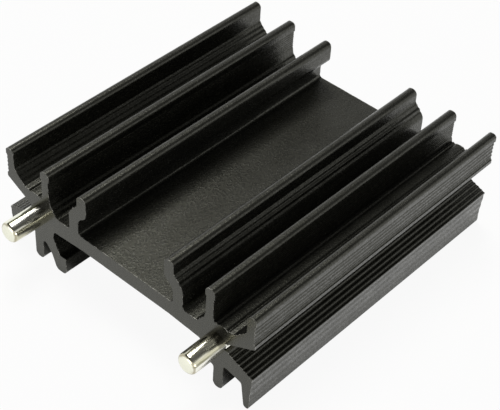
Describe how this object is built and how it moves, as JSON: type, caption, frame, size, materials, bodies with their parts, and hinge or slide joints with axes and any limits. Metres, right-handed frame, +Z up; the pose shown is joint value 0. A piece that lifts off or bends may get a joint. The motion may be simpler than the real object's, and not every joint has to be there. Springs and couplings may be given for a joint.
{
  "type": "extruded heat sink",
  "caption": "Black anodised extruded aluminium heat sink with a device bay, ridged fins above and below the web, and solder pins gripped in open channels.",
  "frame": {"origin": "on the cut end that the pins stand out of, midway between the two pin axes, at the middle of the web's thickness", "axes": "+X across the section, +Y along the extrusion away from the pins' free ends, +Z up, away from the web on the device side"},
  "size_m": [0.0348, 0.0425, 0.0127],
  "materials": {
    "black_anodised_aluminium": "black anodised, satin, with drawn ridges along the fins and saw-cut ends",
    "tinned_pin": "bright tinned, drawn along its length, with a duller domed tip"
  },
  "bodies": {
    "root": {"extrusion": "black_anodised_aluminium", "solder_pin_left": "tinned_pin", "solder_pin_right": "tinned_pin"}
  },
  "joints": []
}
